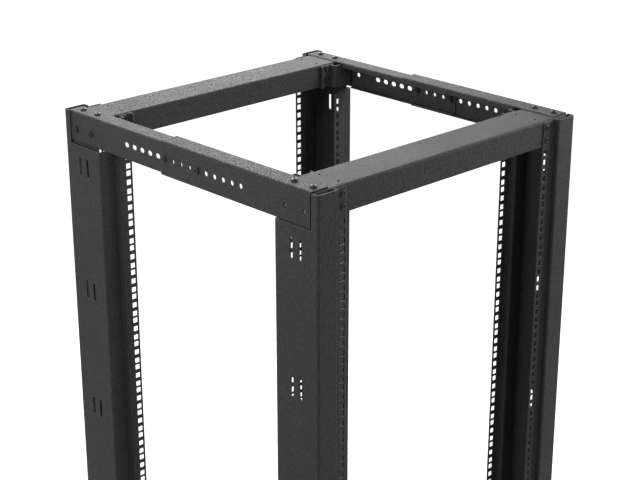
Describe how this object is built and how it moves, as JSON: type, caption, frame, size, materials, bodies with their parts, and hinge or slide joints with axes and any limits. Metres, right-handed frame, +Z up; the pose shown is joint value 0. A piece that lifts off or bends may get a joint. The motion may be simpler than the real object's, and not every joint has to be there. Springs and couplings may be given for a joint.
{
  "type": "four post open frame rack",
  "caption": "Open frame rack for 19-inch equipment: four folded sheet-steel posts with square-hole strips, tied at top and bottom by channel beams and telescopic side rails.",
  "frame": {"origin": "on the floor, under the middle of the rack", "axes": "+Z up; +X across the front, from left to right as seen from the front; +Y from the front to the back"},
  "size_m": [0.582, 0.612, 1.0845],
  "materials": {
    "powder_coat": "black fine-textured powder coat"
  },
  "bodies": {
    "root": {"front_left_post": "powder_coat", "front_right_post": "powder_coat", "back_left_post": "powder_coat", "back_right_post": "powder_coat", "top_front_beam": "powder_coat", "top_back_beam": "powder_coat", "top_left_rail_front": "powder_coat", "top_left_rail_back": "powder_coat", "top_right_rail_front": "powder_coat", "top_right_rail_back": "powder_coat", "top_front_left_bracket": "powder_coat", "top_front_right_bracket": "powder_coat", "top_back_left_bracket": "powder_coat", "top_back_right_bracket": "powder_coat", "bottom_front_beam": "powder_coat", "bottom_back_beam": "powder_coat", "bottom_left_rail_front": "powder_coat", "bottom_left_rail_back": "powder_coat", "bottom_right_rail_front": "powder_coat", "bottom_right_rail_back": "powder_coat", "bottom_front_left_bracket": "powder_coat", "bottom_front_right_bracket": "powder_coat", "bottom_back_left_bracket": "powder_coat", "bottom_back_right_bracket": "powder_coat"}
  },
  "joints": []
}
